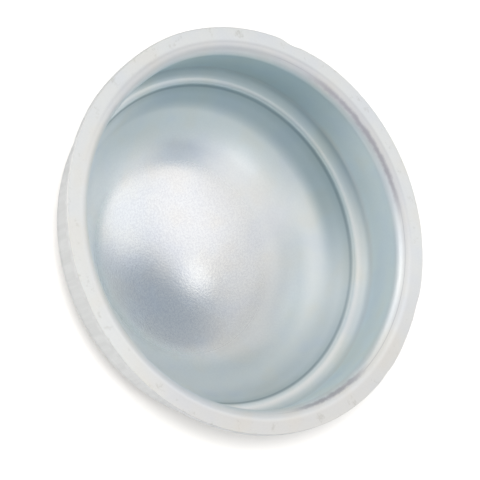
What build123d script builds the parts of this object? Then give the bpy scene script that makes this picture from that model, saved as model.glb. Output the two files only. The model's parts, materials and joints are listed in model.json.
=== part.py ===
from build123d import *

import os
from math import radians, tan

# A hub grease cap: one cup drawn from sheet steel, which closes the outer end of a wheel hub.
# It stands on the crown of its dome with the mouth up. The origin is under the crown, on the
# axis, and +Z runs along the axis and out of the mouth. All lengths are in millimetres.

# The sheet
sheet_thickness = 0.9  # steel before plating
trim_radius = 0.15  # dulled corners of the flange's trimmed edge

# The mouth
bore_diameter = 54.0  # inside of the straight wall, which is pressed over the hub's nose
flange_width = 4.0  # from the bore's wall out to the trimmed edge
lip_bend = 0.9  # inside bend radius where the wall turns out into the flange

# The step between the wall and the dome
ledge_depth = 10.0  # from the flange's face down to the ledge
corner_radius = 1.85  # hollow round from the wall to the ledge
ledge_flat = 0.1  # flat land between the hollow round and the edge
edge_radius = 0.5  # edge where the ledge turns down into the dome, struck sharp by the punch
crease_radius = 0.2  # crease behind that edge, on the outside

# The dome
dome_depth = 12.9  # from the ledge down to the middle of the crown
dome_draft = 28.0  # angle between the dome's side and the axis
crown_rise = 4.35  # height of the crown's arc up to its corner with the side
knuckle_radius = 15.5  # hollow round from the side to the crown

# Sizes that follow from those
bore_radius = bore_diameter / 2
flange_radius = bore_radius + flange_width
lip_radius = lip_bend + sheet_thickness
edge_turn = 90.0 - dome_draft
edge_run = edge_radius * tan(radians(edge_turn / 2))
dome_mouth_radius = bore_radius - corner_radius - ledge_flat - edge_run
side_height = dome_depth - crown_rise
crown_radius_at_side = dome_mouth_radius - side_height * tan(radians(dome_draft))

# Heights above the surface that the crown stands on
crown_z = sheet_thickness
side_foot_z = crown_z + crown_rise
ledge_z = crown_z + dome_depth
face_z = ledge_z + ledge_depth

# Corners of the inside line, from the trimmed edge to the middle of the crown
trimmed_edge = (flange_radius, face_z)
lip_corner = (bore_radius, face_z)
wall_foot = (bore_radius, ledge_z)
dome_mouth = (dome_mouth_radius, ledge_z)
side_foot = (crown_radius_at_side, side_foot_z)
crown_middle = (0.0, crown_z)

# One sheet out and one sheet down from the dome's mouth, where the outside has its crease
behind_edge = (dome_mouth_radius + sheet_thickness, ledge_z - sheet_thickness)

with BuildPart() as grease_cap:
    # Half section: the inside line with its bends, thickened outwards by the sheet
    with BuildSketch(Plane.XZ) as half_section:
        with BuildLine() as inside_line:
            FilletPolyline(
                trimmed_edge,
                lip_corner,
                wall_foot,
                dome_mouth,
                side_foot,
                radius=[lip_radius, corner_radius, edge_radius],
            )
            TangentArc(crown_middle, side_foot, tangent=(1, 0))
            knuckle_corner = inside_line.vertices().sort_by_distance(side_foot)[0]
            fillet(knuckle_corner, radius=knuckle_radius)
            offset(amount=sheet_thickness, side=Side.LEFT)
        make_face()
        # The edge is sharper than the sheet is thick, so the outside folds into a crease behind it
        crease = half_section.vertices().sort_by_distance(behind_edge)[0]
        fillet(crease, radius=crease_radius)
        # The press cuts the flange round, and tumbling dulls both corners of that cut
        cut_corners = half_section.vertices().group_by(Axis.X)[-1]
        fillet(cut_corners, radius=trim_radius)
    revolve(axis=Axis.Z)

grease_cap.part.label = "grease_cap"
os.makedirs("parts", exist_ok=True)
export_step(grease_cap.part, "parts/grease_cap.step")
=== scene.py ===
# %% [markdown]
# # A hub grease cap
# The object is one cup pressed from sheet steel and zinc plated, which closes the outer end of a
# wheel hub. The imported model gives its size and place, and this lesson gives it its looks: a fine
# mesh of the pressed sheet, a plated finish, a pale table, the light of a photo tent and a camera.
# The model is loaded first, and its box is kept, because nothing made here may outgrow it.

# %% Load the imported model
import json
from math import asin, atan2, cos, pi, radians, sin, sqrt, tan

import bpy
from mathutils import Matrix, Vector


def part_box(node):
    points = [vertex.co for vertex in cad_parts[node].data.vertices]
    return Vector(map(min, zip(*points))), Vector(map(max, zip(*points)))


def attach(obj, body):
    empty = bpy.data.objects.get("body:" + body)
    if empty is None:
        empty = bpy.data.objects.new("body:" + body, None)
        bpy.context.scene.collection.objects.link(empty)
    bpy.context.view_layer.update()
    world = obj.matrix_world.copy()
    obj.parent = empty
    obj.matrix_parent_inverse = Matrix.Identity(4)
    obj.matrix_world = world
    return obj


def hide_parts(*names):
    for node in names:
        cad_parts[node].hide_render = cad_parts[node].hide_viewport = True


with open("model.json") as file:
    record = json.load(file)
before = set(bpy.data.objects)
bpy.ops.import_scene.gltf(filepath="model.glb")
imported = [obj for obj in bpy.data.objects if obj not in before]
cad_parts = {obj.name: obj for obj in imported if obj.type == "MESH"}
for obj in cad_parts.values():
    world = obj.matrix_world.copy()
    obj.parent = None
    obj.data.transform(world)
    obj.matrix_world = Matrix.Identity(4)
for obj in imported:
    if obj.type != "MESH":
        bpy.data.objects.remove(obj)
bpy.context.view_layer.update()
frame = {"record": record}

MM = 0.001  # lengths below are in millimetres, and a mesh is in metres

# %% [markdown]
# ## Sizes of the cap
# The overall sizes are read from the model: the flange's radius and face from its box, the bore
# from the mount that the hub presses into. The bends inside are the press tool's own, so they are
# named here once. A pressed cup is best known by its inside line, which the punch makes. The
# outside follows it at the thickness of the sheet, except behind the ledge's edge: the punch
# strikes that edge sharper than the sheet is thick, and the sheet folds to a crease behind it.

# %% Sizes of the section
cap_low, cap_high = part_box("grease_cap")
mounts = {mount["name"]: mount for mount in frame["record"]["mounts"]}
flange_radius = cap_high.x / MM
face_z = cap_high.z / MM
bore_radius = mounts["hub_bore"]["dims"]["r_mm"]
print("flange", round(2 * flange_radius, 2), "mm across, bore", round(2 * bore_radius, 2), "mm")

sheet = 0.9  # thickness of the steel
trim_radius = 0.15  # dulled corners of the trimmed edge
lip_radius = 1.8  # the wall turns out into the flange
ledge_depth = 10.0  # from the flange's face down to the ledge
corner_radius = 1.85  # hollow round from the wall to the ledge
ledge_flat = 0.1  # land between the hollow round and the edge
edge_radius = 0.5  # the ledge turns down into the dome
crease_radius = 0.2  # the fold behind that edge
dome_draft = radians(28.0)  # lean of the dome's side
crown_rise = 4.35  # height of the crown up to its corner with the side
knuckle_radius = 15.5  # hollow round from the side to the crown

# %% Sizes of the inside that follow from those
crown_z = cap_low.z / MM + sheet
ledge_z = face_z - ledge_depth
side_turn = pi / 2 - dome_draft
edge_run = edge_radius * tan(side_turn / 2)
dome_mouth_radius = bore_radius - corner_radius - ledge_flat - edge_run
side_foot_z = crown_z + crown_rise
side_foot_radius = dome_mouth_radius - (ledge_z - side_foot_z) * tan(dome_draft)
crown_radius = (side_foot_radius**2 + crown_rise**2) / (2 * crown_rise)
crown_centre_z = crown_z + crown_radius

# The knuckle touches the side, and it touches the crown from within, which gives its angle there.
off_axis = dome_mouth_radius * cos(dome_draft) + (crown_centre_z - ledge_z) * sin(dome_draft)
crown_turn = asin((off_axis - knuckle_radius) / (crown_radius - knuckle_radius)) - dome_draft
knuckle_turn = side_turn - crown_turn
knuckle_x = (crown_radius - knuckle_radius) * sin(crown_turn)
knuckle_z = crown_centre_z - (crown_radius - knuckle_radius) * cos(crown_turn)
up_side = Vector((sin(dome_draft), cos(dome_draft)))
out_of_side = Vector((cos(dome_draft), -sin(dome_draft)))
side_top = Vector((dome_mouth_radius, ledge_z))
side_start = Vector((knuckle_x, knuckle_z)) + knuckle_radius * out_of_side
side_run = (side_top - edge_run * up_side - side_start).length
wall_run = ledge_depth - corner_radius - lip_radius
flange_run = flange_radius - trim_radius - bore_radius - lip_radius
print("crown radius", round(crown_radius, 2), "mm, straight side", round(side_run, 2), "mm")

# %% Sizes of the crease on the outside
# Its circle touches the outside of the side and the outside of the hollow round.
outer_corner = corner_radius + sheet
corner_centre = Vector((bore_radius - corner_radius, ledge_z + corner_radius))
from_corner = side_top + (sheet + crease_radius) * out_of_side - corner_centre
uphill = from_corner.dot(up_side)
touching = outer_corner + crease_radius
crease_step = -uphill - sqrt(uphill**2 - from_corner.length_squared + touching**2)
to_crease = from_corner + crease_step * up_side
outer_corner_turn = -atan2(to_crease.y, to_crease.x)
crease_turn = outer_corner_turn - dome_draft
outer_side_run = edge_run + side_run + crease_step
print("straight side outside", round(outer_side_run, 2), "mm")

# %% [markdown]
# ## The section, drawn with a pen
# A line of straight runs and round bends can be typed as points, but then each bend is a guess.
# Here a single vertex is the pen. A run extrudes it along its heading, and a bend spins it about
# the bend's own centre, so every round is a true arc. The pen starts in the middle of the crown,
# goes out along the inside to the trimmed edge and comes home along the outside.

# %% A pen that draws on the XZ plane
pen = {"x": 0.0, "z": crown_z, "heading": 0.0}
print("the pen starts", round(pen["z"], 2), "mm above the table")


def put_pen_down(name):
    bpy.ops.object.select_all(action="DESELECT")
    bpy.ops.mesh.primitive_plane_add(size=sheet * MM)
    bpy.context.object.name = name
    bpy.ops.object.mode_set(mode="EDIT")
    bpy.ops.mesh.merge(type="CENTER")
    bpy.ops.transform.translate(value=(pen["x"] * MM, 0.0, pen["z"] * MM))


def run(length):
    step_x = length * cos(pen["heading"])
    step_z = length * sin(pen["heading"])
    step = (step_x * MM, 0.0, step_z * MM)
    bpy.ops.mesh.extrude_region_move(TRANSFORM_OT_translate={"value": step})
    pen["x"] += step_x
    pen["z"] += step_z


def bend(radius, turn, steps):
    side = 1.0 if turn > 0 else -1.0
    centre_x = pen["x"] - side * radius * sin(pen["heading"])
    centre_z = pen["z"] + side * radius * cos(pen["heading"])
    bpy.ops.mesh.spin(
        steps=steps, angle=turn, center=(centre_x * MM, 0.0, centre_z * MM), axis=(0.0, 1.0, 0.0)
    )
    pen["heading"] += turn
    pen["x"] = centre_x + side * radius * sin(pen["heading"])
    pen["z"] = centre_z - side * radius * cos(pen["heading"])


# %% Draw the inside from the crown to the flange
put_pen_down("pressed_cap")
bend(crown_radius, crown_turn, steps=22)
bend(knuckle_radius, knuckle_turn, steps=24)
run(side_run)
bend(edge_radius, -side_turn, steps=8)
run(ledge_flat)
bend(corner_radius, pi / 2, steps=14)
run(wall_run)
bend(lip_radius, -pi / 2, steps=12)
run(flange_run)
print("the flange's face ends at", round(pen["x"], 3), round(pen["z"], 3), "mm")

# %% Draw the trimmed edge and the outside back to the axis
bend(trim_radius, -pi / 2, steps=4)
run(sheet - 2 * trim_radius)
bend(trim_radius, -pi / 2, steps=4)
run(flange_run)
bend(lip_radius - sheet, pi / 2, steps=10)
run(wall_run)
bend(outer_corner, -outer_corner_turn, steps=14)
bend(crease_radius, crease_turn, steps=4)
run(outer_side_run)
bend(knuckle_radius + sheet, -knuckle_turn, steps=20)
bend(crown_radius + sheet, -crown_turn, steps=18)
print("the pen comes home to", round(pen["x"], 3), round(pen["z"], 3), "mm")

# %% [markdown]
# ## From a section to a cap
# A cup like this is pressed and trimmed about one axis, so a spin once round makes it. The spin
# leaves a copy of the crown's two middle points for each step, so doubles are merged, and then the
# normals are made to agree.

# %% Spin the section round the axis
spin_steps = 288
merge_distance = 0.001  # joins only points that fall together
bpy.ops.mesh.select_all(action="SELECT")
bpy.ops.mesh.spin(
    steps=spin_steps, angle=2 * pi, center=(0, 0, 0), axis=(0, 0, 1), use_auto_merge=True
)
bpy.ops.mesh.select_all(action="SELECT")
bpy.ops.mesh.remove_doubles(threshold=merge_distance * MM)
bpy.ops.mesh.normals_make_consistent(inside=False)
bpy.ops.object.mode_set(mode="OBJECT")
cap = bpy.context.object
lowest = min(cap.data.polygons, key=lambda face: face.center.z)
print("cap of", sum(len(face.vertices) - 2 for face in cap.data.polygons), "triangles")
print("the crown's outside faces", [round(v, 2) for v in lowest.normal])

# %% [markdown]
# ## Dents in the rim
# Caps are plated loose in a turning barrel, where they knock against each other, and a thin flange
# shows it. This one has a nick with a long run-out on one side, two shallow flats and a few small
# knocks. They could be sculpted by hand, but then nobody could repeat them. Proportional editing
# moves a few points of the rim inwards and lets the metal around them follow less and less, which
# is how sheet gives way.

# %% Press in the rim
rim_dents = [
    # azimuth in degrees, depth, spread around it
    (-47.0, 0.16, 5.0),
    (-50.8, 0.27, 1.7),
    (48.0, 0.16, 8.0),
    (-108.0, 0.20, 10.0),
    (41.0, 0.09, 1.3),
    (64.5, 0.09, 1.3),
    (179.0, 0.10, 1.6),
]
struck_angle = 1.2 * 2 * pi / spin_steps  # takes in two or three columns of points


def direction(azimuth, elevation=0.0):
    """A vector of length one: azimuth 0 is +Y and 90 is +X, and elevation 90 is straight up."""
    turn, lift = radians(azimuth), radians(elevation)
    return Vector((sin(turn) * cos(lift), cos(turn) * cos(lift), sin(lift)))


for azimuth, depth, spread in rim_dents:
    bpy.ops.object.mode_set(mode="EDIT")
    bpy.ops.mesh.select_mode(type="VERT")
    bpy.ops.mesh.select_all(action="DESELECT")
    bpy.ops.object.mode_set(mode="OBJECT")
    for vertex in cap.data.vertices:
        from_axis = vertex.co.to_2d().length
        towards = vertex.co.dot(direction(azimuth))
        on_rim = from_axis > (flange_radius - sheet) * MM
        vertex.select = on_rim and towards > from_axis * cos(struck_angle)
    struck = sum(vertex.select for vertex in cap.data.vertices)
    bpy.ops.object.mode_set(mode="EDIT")
    bpy.ops.transform.translate(
        value=-direction(azimuth) * depth * MM,
        use_proportional_edit=True,
        proportional_edit_falloff="SMOOTH",
        proportional_size=spread * MM,
    )
    bpy.ops.object.mode_set(mode="OBJECT")
    print("pressed in", struck, "points at", azimuth, "degrees")

# %% [markdown]
# ## Smooth light
# The mesh is made of small flat faces, and the sheet is not. More faces would hide that at a cost.
# Smooth shading blends the light across them instead, and weighted normals let the large faces
# lead, so that the flange and the wall stay straight in the light though they end in rounds. Then
# the finished cap takes the place of the imported solid and rides on its body.

# %% Smooth the light over the facets and hand the cap to the model
bpy.ops.object.shade_smooth()
weighted = cap.modifiers.new("straight_parts_stay_straight", "WEIGHTED_NORMAL")
bpy.ops.object.modifier_apply(modifier=weighted.name)

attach(cap, "root")
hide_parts("grease_cap")
print(cap.name, "takes the place of the packed solid")

# %% [markdown]
# ## Colours and nodes
# Colours are written as they look on a screen, and one function turns them into the linear values
# that light is reckoned in. One more function adds a shader node with its settings, its links and
# the stops of its colour ramp, so that each finish reads from top to bottom.

# %% Helpers for finishes
def linear(hex_colour):
    parts = [int(hex_colour[i : i + 2], 16) / 255 for i in (1, 3, 5)]
    return [v / 12.92 if v <= 0.04045 else ((v + 0.055) / 1.055) ** 2.4 for v in parts] + [1.0]


def add_node(tree, kind, settings=None, links=None, stops=None):
    node = tree.nodes.new(kind)
    for name, value in (settings or {}).items():
        if isinstance(name, int) or name in node.inputs:
            node.inputs[name].default_value = value
        else:
            setattr(node, name, value)
    for name, source in (links or {}).items():
        tree.links.new(source, node.inputs[name])
    if stops:
        node.color_ramp.interpolation = "EASE"
        ramp = node.color_ramp.elements
        ramp.remove(ramp[1])
        ramp[0].position, ramp[0].color = stops[0]
        for position, colour in stops[1:]:
            ramp.new(position).color = colour
    return node


def new_material(name):
    material = bpy.data.materials.new(name)
    material.use_nodes = True
    material.node_tree.nodes.clear()
    return material


print("a grey of #808080 is", round(linear("#808080")[0], 3), "as light")


# %% [markdown]
# ## The plating inside
# Zinc is laid on by a current, which finds the flange and the crown easily and the deep corner
# round the ledge hardly at all. So the crown comes out smooth and bright, and the recess stays
# thin, dull and a little blue from the passivating bath. A picture could be wrapped round the cup
# for this, but it would stretch over the rounds. Here the finish follows how far a place lies along
# the sheet: its radius plus its height above the ledge grows all the way from crown to rim.

# %% How far along the sheet, in millimetres
inside_zinc = new_material("zinc_electroplated_steel_passivated_inside")
tree = inside_zinc.node_tree
object_place = add_node(tree, "ShaderNodeTexCoord").outputs["Object"]
place = add_node(
    tree, "ShaderNodeVectorMath", {"operation": "SCALE", "Scale": 1 / MM}, {0: object_place}
).outputs["Vector"]
across = add_node(
    tree, "ShaderNodeVectorMath", {"operation": "MULTIPLY", 1: (1.0, 1.0, 0.0)}, {0: place}
).outputs["Vector"]
radius = add_node(
    tree, "ShaderNodeVectorMath", {"operation": "LENGTH"}, {0: across}
).outputs["Value"]
height = add_node(tree, "ShaderNodeSeparateXYZ", links={"Vector": place}).outputs["Z"]
over_ledge = add_node(
    tree, "ShaderNodeMath", {"operation": "SUBTRACT", 1: ledge_z}, {0: height}
).outputs[0]
climb = add_node(
    tree, "ShaderNodeMath", {"operation": "MAXIMUM", 1: 0.0}, {0: over_ledge}
).outputs[0]
reach = add_node(tree, "ShaderNodeMath", {"operation": "ADD"}, {0: radius, 1: climb}).outputs[0]
full_reach = flange_radius + ledge_depth
along = add_node(
    tree, "ShaderNodeMath", {"operation": "DIVIDE", 1: full_reach}, {0: reach}
).outputs[0]
print("the sheet reaches", round(full_reach, 1), "mm from the crown's middle to the rim")

# %% Colour and dullness of the zinc along the sheet
# To the eye: a bright, nearly mirroring crown, a milky recess, a painted shade line at the dome's
# edge, a white band on the ledge brightened by a painted highlight, and a satin flange.
plating_and_painted_light = [
    # reach, colour of the zinc, roughness
    (0.0, "#E1E3E4", 0.18),
    (13.0, "#E3E5E6", 0.19),
    (17.0, "#F6F8F9", 0.33),
    (21.5, "#FCFFFF", 0.52),
    (23.6, "#F0F6F8", 0.56),
    # painted shade: a dark line at the dome's edge, just under the ledge
    (24.3, "#E4ECEE", 0.56),
    (24.56, "#B9C6CB", 0.56),
    (24.8, "#E1E8E9", 0.56),
    # painted highlight: a lighter zinc colour makes the ledge's band whiter
    (25.5, "#FEFDFB", 0.58),
    (26.8, "#E6EBEB", 0.60),
    (28.2, "#E1E9EB", 0.60),
    (29.6, "#E8F4F7", 0.60),
    (34.6, "#F4FEFF", 0.56),
    (36.4, "#F0F4F5", 0.51),
    (38.4, "#F8F8F6", 0.48),
    (39.2, "#F1F1EE", 0.42),
    (41.0, "#F1F1EE", 0.42),
]
zinc = add_node(
    tree,
    "ShaderNodeValToRGB",
    links={"Fac": along},
    stops=[(mm / full_reach, linear(colour)) for mm, colour, rough in plating_and_painted_light],
).outputs["Color"]
dullness = add_node(
    tree,
    "ShaderNodeValToRGB",
    links={"Fac": along},
    stops=[(mm / full_reach, (rough, rough, rough, 1.0)) for mm, colour, rough in plating_and_painted_light],
).outputs["Color"]
print("plating drawn with", len(plating_and_painted_light), "stops from crown to rim")

# %% [markdown]
# ### Painted shade round the axis
# The light falls unevenly round the cup, and some of its shade is painted into the zinc's colour, in
# sectors round the axis. A painted mask could hold this, but a mask needs an unwrapped mesh. A
# sector round the axis times a strength along the sheet needs none, and both have soft ends.

# %% Painted shade in sectors round the axis
# Painted shade: one side of the recess is a deeper blue-grey, the far side of the dome a little
# greyer than the near one, the knuckle and the lip a little darker on one side, and one side of the
# flange a little darker and warmer.
bearing = add_node(
    tree, "ShaderNodeVectorMath", {"operation": "NORMALIZE"}, {0: across}
).outputs["Vector"]


def sector(azimuth, full_angle, end_angle):
    """How much a place belongs to a sector round the axis, from 0 to 1."""
    towards = add_node(
        tree,
        "ShaderNodeVectorMath",
        {"operation": "DOT_PRODUCT", 1: direction(azimuth)},
        {0: bearing},
    ).outputs["Value"]
    return add_node(
        tree,
        "ShaderNodeMapRange",
        {
            "interpolation_type": "SMOOTHSTEP",
            "From Min": cos(radians(end_angle)),
            "From Max": cos(radians(full_angle)),
        },
        {"Value": towards},
    ).outputs["Result"]


# Each strength is a list of reaches in millimetres and of shares from 0 to 1.
far_strength = [(13.0, 0.0), (15.5, 1.0), (19.0, 0.9), (21.5, 0.3), (23.0, 0.0)]
knuckle_strength = [(15.5, 0.0), (18.2, 0.5), (19.6, 0.5), (21.4, 0.0)]
dome_strength = [(16.0, 0.0), (21.0, 0.55), (22.2, 0.5), (23.2, 0.0)]
edge_strength = [(21.8, 0.0), (23.2, 1.0), (24.7, 1.0), (25.2, 0.0)]
ledge_strength = [(24.7, 0.0), (25.2, 0.45), (25.5, 0.5), (25.9, 1.0), (28.0, 1.0), (28.8, 0.0)]
wall_strength = [(28.0, 0.0), (28.8, 1.0), (35.0, 1.0), (36.6, 0.0)]
lip_strength = [(35.8, 0.0), (36.6, 0.45), (37.5, 1.0), (38.6, 1.0), (39.2, 0.0)]
flange_strength = [(38.4, 0.0), (39.2, 1.0), (41.0, 1.0)]
painted_shade_places = [
    # azimuth, half-angles where it is full and where it ends, tint, strength along the sheet
    (-66.0, 28.0, 71.0, "#CED9DD", dome_strength),
    (32.0, 8.0, 36.0, "#DEE7EB", knuckle_strength),
    (-40.0, 30.0, 79.0, "#C9D5D9", edge_strength),
    (-50.0, 28.0, 80.0, "#C8D4D8", ledge_strength),
    (-8.0, 75.0, 118.0, "#F5F6F6", far_strength),
    (-74.0, 25.0, 68.0, "#CDD8DC", wall_strength),
    (-58.0, 40.0, 98.0, "#E3E3E4", lip_strength),
    (95.0, 20.0, 75.0, "#F2F0EF", flange_strength),
]
for azimuth, full_angle, end_angle, tint, strengths in painted_shade_places:
    strength = add_node(
        tree,
        "ShaderNodeValToRGB",
        links={"Fac": along},
        stops=[(mm / full_reach, (part, part, part, 1.0)) for mm, part in strengths],
    ).outputs["Color"]
    share = add_node(
        tree,
        "ShaderNodeMath",
        {"operation": "MULTIPLY"},
        {0: strength, 1: sector(azimuth, full_angle, end_angle)},
    ).outputs[0]
    zinc = add_node(
        tree,
        "ShaderNodeMix",
        {"data_type": "RGBA", "blend_type": "MULTIPLY", 7: linear(tint)},
        {0: share, 6: zinc},
    ).outputs[2]
# the count of places of painted shade
print("thinner zinc or a film in", len(painted_shade_places), "places")

# %% [markdown]
# ### Clouds
# No plated face is of one tone, because the bath does not flow evenly over it. A photo of such a
# face would bring its own light along. A noise of some millimetres moves the tint a little instead,
# and it has no seam and no end.

# %% Clouds from the passivating bath
# To the eye: the grey wanders a little between bluish and warm, so no stretch looks painted.
cloud_size = 7.0
cloud = add_node(
    tree, "ShaderNodeTexNoise", {"Scale": 1 / cloud_size, "Detail": 2.0}, {"Vector": place}
).outputs["Fac"]
cloud_tint = add_node(
    tree,
    "ShaderNodeValToRGB",
    links={"Fac": cloud},
    stops=[(0.34, linear("#FBFCFF")), (0.5, linear("#FEFEFE")), (0.66, linear("#FFFDFA"))],
).outputs["Color"]
zinc = add_node(
    tree,
    "ShaderNodeMix",
    {"data_type": "RGBA", "blend_type": "MULTIPLY", 0: 1.0},
    {6: zinc, 7: cloud_tint},
).outputs[2]
print("clouds about", cloud_size, "mm across")

# %% [markdown]
# ### Grain
# Zinc grows in crystals, which make even the bright crown a little sandy. As true shape they would
# take millions of faces. A fine noise tilts the light by a bump instead, and it also shades the
# colour. The shade fades out towards the recess, where the dull zinc hides the crystals.

# %% Sandy grain of the zinc crystals
# To the eye: the crown is not a clean mirror but faintly sandy, most of all where it mirrors dark.
# The crystals are some hundredths of a millimetre across and too fine to show, so they are drawn
# about ten times as coarse.
grain_size = 0.3
grain_depth = 0.012
grain_full_reach = 9.0
grain_end_reach = 21.0
grain_least_share = 0.15
grain = add_node(
    tree,
    "ShaderNodeTexNoise",
    {"Scale": 1 / grain_size, "Detail": 2.0, "Roughness": 0.6},
    {"Vector": place},
).outputs["Fac"]
grain_normal = add_node(
    tree, "ShaderNodeBump", {"Strength": 1.0, "Distance": grain_depth * MM}, {"Height": grain}
).outputs["Normal"]
grain_shade = add_node(
    tree,
    "ShaderNodeValToRGB",
    links={"Fac": grain},
    stops=[(0.36, linear("#F5F5F7")), (0.64, linear("#FFFFFF"))],
).outputs["Color"]
grain_share = add_node(
    tree,
    "ShaderNodeMapRange",
    {
        "From Min": grain_full_reach,
        "From Max": grain_end_reach,
        "To Min": 1.0,
        "To Max": grain_least_share,
    },
    {"Value": reach},
).outputs["Result"]
zinc = add_node(
    tree,
    "ShaderNodeMix",
    {"data_type": "RGBA", "blend_type": "MULTIPLY"},
    {0: grain_share, 6: zinc, 7: grain_shade},
).outputs[2]
print("grain drawn", grain_size, "mm across and", grain_depth, "mm high")

# %% [markdown]
# ### Scuffs
# In the barrel the flange is the part that other caps rub against. Each scuff could be drawn by
# itself, but they are many and much alike, so the peaks of a noise are kept, on the flange alone.

# %% Scuffs on the flange
# To the eye: small dull smudges scattered over the flange, where it lay on others in the barrel.
scuff_size = 1.7
scuff_from, scuff_full = 0.58, 0.74  # noise values where a scuff begins and where it is full
flange_reach = bore_radius + ledge_depth + lip_radius  # where the flange begins
scuff_full_reach = full_reach - 1.5
scuff_pattern = add_node(
    tree,
    "ShaderNodeTexNoise",
    {"Scale": 1 / scuff_size, "Detail": 4.0, "Roughness": 0.65},
    {"Vector": place},
).outputs["Fac"]
scuffs = add_node(
    tree,
    "ShaderNodeMapRange",
    {"From Min": scuff_from, "From Max": scuff_full},
    {"Value": scuff_pattern},
).outputs["Result"]
on_flange = add_node(
    tree,
    "ShaderNodeMapRange",
    {"From Min": flange_reach, "From Max": scuff_full_reach},
    {"Value": reach},
).outputs["Result"]
scuffed = add_node(
    tree, "ShaderNodeMath", {"operation": "MULTIPLY"}, {0: scuffs, 1: on_flange}
).outputs[0]
zinc = add_node(
    tree,
    "ShaderNodeMix",
    {"data_type": "RGBA", "blend_type": "MULTIPLY", 7: linear("#E9E8E4")},
    {0: scuffed, 6: zinc},
).outputs[2]
print("scuffs about", scuff_size, "mm apart")

# %% [markdown]
# ### Dark marks on the lip
# The lip is darkened in a fine line along its far half and in smears at two places. They could be
# painted on an unwrapped lip. But a line at one reach is already a true circle on the cap, and a
# noise added to the distance from it frays the smears.

# %% Dark marks on the lip
# To the eye: a fine grey line round the far half of the lip, and two broken lilac-grey smears.
ring_reach = 37.6
ring_core, ring_end, ring_strength = 0.03, 0.14, 0.30
smear_reach = 37.3
smear_core, smear_end, smear_strength = 0.7, 1.25, 0.62  # distance with the noise on top
ragged_size = 1.3
off_ring = add_node(
    tree, "ShaderNodeMath", {"operation": "SUBTRACT", 1: ring_reach}, {0: reach}
).outputs[0]
off_ring = add_node(tree, "ShaderNodeMath", {"operation": "ABSOLUTE"}, {0: off_ring}).outputs[0]
fine_ring = add_node(
    tree,
    "ShaderNodeMapRange",
    {"From Min": ring_end, "From Max": ring_core, "To Max": ring_strength},
    {"Value": off_ring},
).outputs["Result"]
ragged = add_node(
    tree,
    "ShaderNodeTexNoise",
    {"Scale": 1 / ragged_size, "Detail": 3.0, "Roughness": 0.7},
    {"Vector": place},
).outputs["Fac"]
off_smear = add_node(
    tree, "ShaderNodeMath", {"operation": "SUBTRACT", 1: smear_reach}, {0: reach}
).outputs[0]
off_smear = add_node(tree, "ShaderNodeMath", {"operation": "ABSOLUTE"}, {0: off_smear}).outputs[0]
ragged_off = add_node(
    tree, "ShaderNodeMath", {"operation": "ADD"}, {0: off_smear, 1: ragged}
).outputs[0]
smear = add_node(
    tree,
    "ShaderNodeMapRange",
    {"From Min": smear_end, "From Max": smear_core, "To Max": smear_strength},
    {"Value": ragged_off},
).outputs["Result"]
dark_lip_marks = [
    # the mark, azimuth of its middle, half-angles where it is full and where it ends
    (fine_ring, 25.0, 72.0, 88.0),
    (smear, -15.0, 14.0, 32.0),
    (smear, 84.0, 3.0, 19.0),
]
so_far = {}
for mark, azimuth, full_angle, end_angle in dark_lip_marks:
    drawn = add_node(
        tree,
        "ShaderNodeMath",
        {"operation": "MULTIPLY"},
        {0: mark, 1: sector(azimuth, full_angle, end_angle)},
    ).outputs[0]
    darkened = add_node(
        tree, "ShaderNodeMath", {"operation": "MAXIMUM", 1: 0.0}, {0: drawn, **so_far}
    ).outputs[0]
    so_far = {1: darkened}
zinc = add_node(
    tree, "ShaderNodeMix", {"data_type": "RGBA", 7: linear("#9C9AA6")}, {0: darkened, 6: zinc}
).outputs[2]
print(len(dark_lip_marks), "rub marks near", ring_reach, "mm along the sheet")

# %% The finished inside
# To the eye: metal all through, so its colour tints what it mirrors and it has no colour beneath.
inside_shader = add_node(
    tree,
    "ShaderNodeBsdfPrincipled",
    {"Metallic": 1.0},
    {"Base Color": zinc, "Roughness": dullness, "Normal": grain_normal},
)
add_node(tree, "ShaderNodeOutputMaterial", links={"Surface": inside_shader.outputs["BSDF"]})
print(inside_zinc.name, "has", len(tree.nodes), "nodes")

# %% [markdown]
# ## The plating outside
# The outside lay open to the current all round, so its zinc is even, thick and satin. What breaks
# its evenness are the lines that the die leaves as the sheet is drawn through it, which run from
# the flange towards the crown. A noise drawn out along the height gives them without any mapping.

# %% Satin zinc outside
# To the eye: a plain, soft grey that takes the colour of the table, with faint upright lines. They
# are drawn wider than the real ones, which would be lost in the picture.
draw_line_width = 0.9
draw_line_stretch = 0.06
outside_zinc = new_material("zinc_electroplated_steel_passivated_outside")
tree = outside_zinc.node_tree
object_place = add_node(tree, "ShaderNodeTexCoord").outputs["Object"]
drawn_out = add_node(
    tree,
    "ShaderNodeMapping",
    {"Scale": (1 / MM, 1 / MM, draw_line_stretch / MM)},
    {"Vector": object_place},
).outputs["Vector"]
draw_lines = add_node(
    tree, "ShaderNodeTexNoise", {"Scale": 1 / draw_line_width, "Detail": 3.0}, {"Vector": drawn_out}
).outputs["Fac"]
outside_colour = add_node(
    tree,
    "ShaderNodeValToRGB",
    links={"Fac": draw_lines},
    stops=[(0.3, linear("#CDCFD0")), (0.7, linear("#D6D8D9"))],
).outputs["Color"]
outside_dullness = add_node(
    tree, "ShaderNodeMapRange", {"To Min": 0.44, "To Max": 0.56}, {"Value": draw_lines}
).outputs["Result"]
outside_shader = add_node(
    tree,
    "ShaderNodeBsdfPrincipled",
    {"Metallic": 1.0, "Specular Tint": linear("#C5C7C9")},
    {"Base Color": outside_colour, "Roughness": outside_dullness},
)
add_node(tree, "ShaderNodeOutputMaterial", links={"Surface": outside_shader.outputs["BSDF"]})
print(outside_zinc.name, "has", len(tree.nodes), "nodes")

# %% [markdown]
# ## Which side is which
# The inside and the outside of the sheet meet at the trimmed edge. One material could ask where it
# is, but two materials in two slots are easier to read and to change. A face belongs to the outside
# when it looks out more than it looks up.

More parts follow.
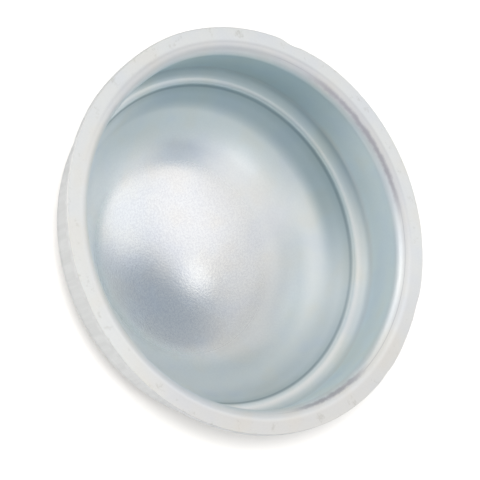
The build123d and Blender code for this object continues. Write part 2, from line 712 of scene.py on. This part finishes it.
# %% Give each side of the sheet its finish
cap.data.materials.clear()
cap.data.materials.append(inside_zinc)
cap.data.materials.append(outside_zinc)
bpy.ops.object.mode_set(mode="EDIT")
bpy.ops.mesh.select_mode(type="FACE")
bpy.ops.mesh.select_all(action="DESELECT")
bpy.ops.object.mode_set(mode="OBJECT")
for face in cap.data.polygons:
    outwards = Vector((face.center.x, face.center.y, 0.0)).normalized()
    face.select = face.normal.dot(outwards) > face.normal.z
print("outside of", sum(face.select for face in cap.data.polygons), "faces")
bpy.ops.object.mode_set(mode="EDIT")
cap.active_material_index = 1
bpy.ops.object.material_slot_assign()
bpy.ops.object.mode_set(mode="OBJECT")

# %% [markdown]
# ## The table
# The cap stands on its crown on a white sheet of acrylic that also glows a little from below, as
# tables for photographing small wares do. That is why the ground is white in the photo and the
# shadow pale. A curved backdrop would do too, but the camera looks down and sees no far end, so a
# wide plane is enough. Part of its white is its own glow, which no shadow can take away.

# %% Lit white table
# To the eye: nothing but white, down to a soft grey shadow. A slow mottle in its tone and in its
# polish keeps the sheet from being perfectly even.
floor_size = 4000.0
mottle_size = 60.0
table_glow = 0.17
bpy.ops.object.select_all(action="DESELECT")
bpy.ops.mesh.primitive_plane_add(size=floor_size * MM)
floor = bpy.context.object
floor.name = "pale_table"
lit_acrylic = new_material("white_acrylic_lit_from_below")
tree = lit_acrylic.node_tree
object_place = add_node(tree, "ShaderNodeTexCoord").outputs["Object"]
mottle = add_node(
    tree,
    "ShaderNodeTexNoise",
    {"Scale": 1 / (mottle_size * MM), "Detail": 2.0},
    {"Vector": object_place},
).outputs["Fac"]
floor_colour = add_node(
    tree,
    "ShaderNodeValToRGB",
    links={"Fac": mottle},
    stops=[(0.3, linear("#D7D5D2")), (0.7, linear("#D9D7D4"))],
).outputs["Color"]
floor_dullness = add_node(
    tree, "ShaderNodeMapRange", {"To Min": 0.6, "To Max": 0.8}, {"Value": mottle}
).outputs["Result"]
floor_shader = add_node(
    tree,
    "ShaderNodeBsdfPrincipled",
    {
        "Specular IOR Level": 0.0,
        "Emission Color": linear("#FFFFFF"),
        "Emission Strength": table_glow,
    },
    {"Base Color": floor_colour, "Roughness": floor_dullness},
)
add_node(tree, "ShaderNodeOutputMaterial", links={"Surface": floor_shader.outputs["BSDF"]})
floor.data.materials.append(lit_acrylic)
print(floor.name, "is", floor_size, "mm wide")

# %% [markdown]
# ## The light of a photo tent
# Polished metal shows its surroundings, so most of what the photo shows in this cup is the room:
# the white tent round it, its brighter panels, its seams and the dark gap where the camera stands.
# Lamps would give hard glints. A world of soft round patches, each with a bearing, a height and a
# size, gives the broad lights and the two dim blobs that the crown mirrors.

# %% Patches of the tent
tent_brightness = 0.89
tent_patches = [
    # azimuth, elevation, half-angle of the middle, half-angle of the rim, brightness, colour
    (134.0, -18.0, 45.0, 57.0, 0.44, "#F6FAFF"),
    (-130.0, 5.0, 20.0, 26.0, 2.17, "#FFFAF8"),
    (-86.0, 42.0, 22.0, 35.0, 0.72, "#FFFFFE"),
    (-112.0, 27.0, 5.0, 18.0, 1.22, "#FCFFFE"),
    (-25.0, 2.0, 16.0, 57.0, 0.62, "#FDFFFF"),
    (-11.0, 47.0, 2.0, 27.0, 0.56, "#E1EFFF"),
    (72.0, 42.0, 7.0, 21.0, 0.63, "#D7ECFF"),
    (30.0, 64.0, 1.0, 26.0, 1.25, "#FFFEFF"),
    (126.0, 34.0, 6.0, 12.0, 2.22, "#FFFBFA"),
    (-16.0, 62.0, 1.0, 7.0, 1.58, "#FFFDF9"),
    (21.0, 39.0, 1.0, 16.0, 1.23, "#FEFFFF"),
    (178.0, 60.0, 4.0, 15.0, 0.80, "#FFFDFB"),
    (100.0, 70.0, 6.0, 22.0, 1.03, "#FFFDFB"),
    (140.0, 63.0, 2.0, 14.0, 0.89, "#FEFEFF"),
    (-140.0, 44.0, 4.0, 20.0, 0.74, "#FFFFFE"),
    (74.0, 37.0, 1.0, 11.0, 0.36, "#E8F0FF"),
]
world = bpy.data.worlds.new("photo_tent")
bpy.context.scene.world = world
world.use_nodes = True
sky = world.node_tree
sky.nodes.clear()
ray = add_node(sky, "ShaderNodeTexCoord").outputs["Generated"]
under = {}
for azimuth, elevation, middle, rim, brightness, colour in tent_patches:
    near = add_node(
        sky,
        "ShaderNodeVectorMath",
        {"operation": "DOT_PRODUCT", 1: direction(azimuth, elevation)},
        {0: ray},
    )
    share = add_node(
        sky,
        "ShaderNodeMapRange",
        {
            "interpolation_type": "SMOOTHSTEP",
            "From Min": cos(radians(rim)),
            "From Max": cos(radians(middle)),
        },
        {"Value": near.outputs["Value"]},
    )
    mix = add_node(
        sky,
        "ShaderNodeMix",
        {
            "data_type": "RGBA",
            6: [tent_brightness * v for v in linear("#FFFFFF")],
            7: [brightness * v for v in linear(colour)],
        },
        {0: share.outputs["Result"], **under},
    )
    under = {6: mix.outputs[2]}
background = add_node(sky, "ShaderNodeBackground", links={"Color": mix.outputs[2]})
add_node(sky, "ShaderNodeOutputWorld", links={"Surface": background.outputs["Background"]})
print("tent of brightness", tent_brightness, "with", len(tent_patches), "patches")

# %% [markdown]
# ## A lamp for the shadow
# A tent alone throws hardly any shadow. In the photo a soft one shows just below the rim, so one
# round lamp stands far off behind the camera. Far off, it throws the rim's shadow at its own size,
# and its width makes the shadow's edge soft. It is hidden from mirroring, for it would show as a
# glint in the crown.

# %% Key lamp
lamp_direction = direction(-171.0, 60.5)
lamp_distance = 2400.0
lamp_size = 340.0
lamp_power = 46.0  # watts
key = bpy.data.objects.new("key_lamp", bpy.data.lights.new("key_lamp", "AREA"))
bpy.context.scene.collection.objects.link(key)
key.data.shape = "DISK"
key.data.size = lamp_size * MM
key.data.energy = lamp_power
key.location = lamp_direction * lamp_distance * MM
key.rotation_euler = lamp_direction.to_track_quat("Z", "Y").to_euler()
key.visible_glossy = False
key.visible_camera = False
print("lamp at", [round(v / MM) for v in key.location], "mm")

# %% [markdown]
# ## The camera
# The flange shows as an ellipse. Its shape tells how far the cap's axis leans from the line of
# sight, its lean tells which way, and the smaller far side tells how near the camera stood. So the
# camera is turned by those two angles and moved until the middle of the mouth falls on its pixel.

# %% Camera as in the photo
photo_size = 480
mouth_pixel = (250.8, 228.7)  # where the middle of the mouth shows in the photo
axis_tilt = radians(34.02)  # between the line of sight and the cap's axis
axis_turn = radians(-21.59)  # the axis as it shows in the photo, below the horizontal
mouth_distance = 16.0 * flange_radius
focal_pixels = 3337.4
nearest_seen = 0.01  # metres

camera = bpy.data.objects.new("camera", bpy.data.cameras.new("camera"))
bpy.context.scene.collection.objects.link(camera)
bpy.context.scene.camera = camera
camera.data.sensor_width = 36.0
camera.data.lens = focal_pixels / photo_size * camera.data.sensor_width
camera.data.clip_start = nearest_seen
mouth_right = (mouth_pixel[0] - photo_size / 2) / focal_pixels * mouth_distance
mouth_up = (photo_size / 2 - mouth_pixel[1]) / focal_pixels * mouth_distance
turned = Matrix.Rotation(axis_tilt, 4, "X") @ Matrix.Rotation(pi / 2 + axis_turn, 4, "Z")
mouth_middle = Vector((0.0, 0.0, face_z * MM))
eye = mouth_middle - turned @ (Vector((mouth_right, mouth_up, -mouth_distance)) * MM)
camera.matrix_world = Matrix.Translation(eye) @ turned
print("camera at", [round(v / MM, 1) for v in eye], "lens", round(camera.data.lens, 1))

# %% [markdown]
# ## Finish
# The colours are shown as they are reckoned, without a film look, because the photo is plain and
# bright.

# %% The end
bpy.context.scene.view_settings.view_transform = "Standard"
